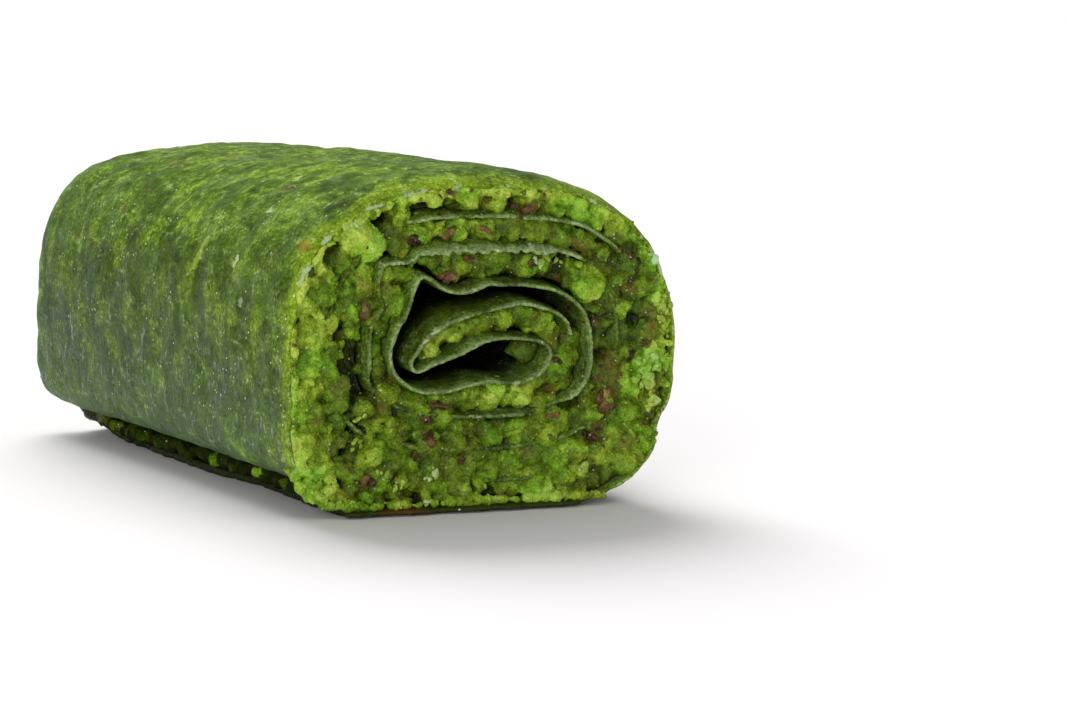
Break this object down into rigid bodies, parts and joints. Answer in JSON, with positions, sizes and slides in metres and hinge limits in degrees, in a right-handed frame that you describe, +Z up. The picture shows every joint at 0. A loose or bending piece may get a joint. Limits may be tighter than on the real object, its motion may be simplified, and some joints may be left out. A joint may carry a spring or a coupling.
{
  "type": "pistachio baklava roll",
  "caption": "Short cut length of a thin green dough sheet rolled in a flattened spiral round crumbly ground pistachio filling.",
  "frame": {"origin": "on the ground, under the middle of the roll's box", "axes": "+Z up, +Y along the roll away from the shown cut, +X across the roll to its right as seen from the shown cut"},
  "size_m": [0.0301, 0.0524, 0.0237],
  "materials": {
    "dough_sheet": "moist, syrup-soaked thin dough, satin",
    "ground_pistachio": "moist crumbly ground nuts"
  },
  "bodies": {
    "root": {"pastry_sheet": "dough_sheet", "pistachio_filling": "ground_pistachio"}
  },
  "joints": []
}
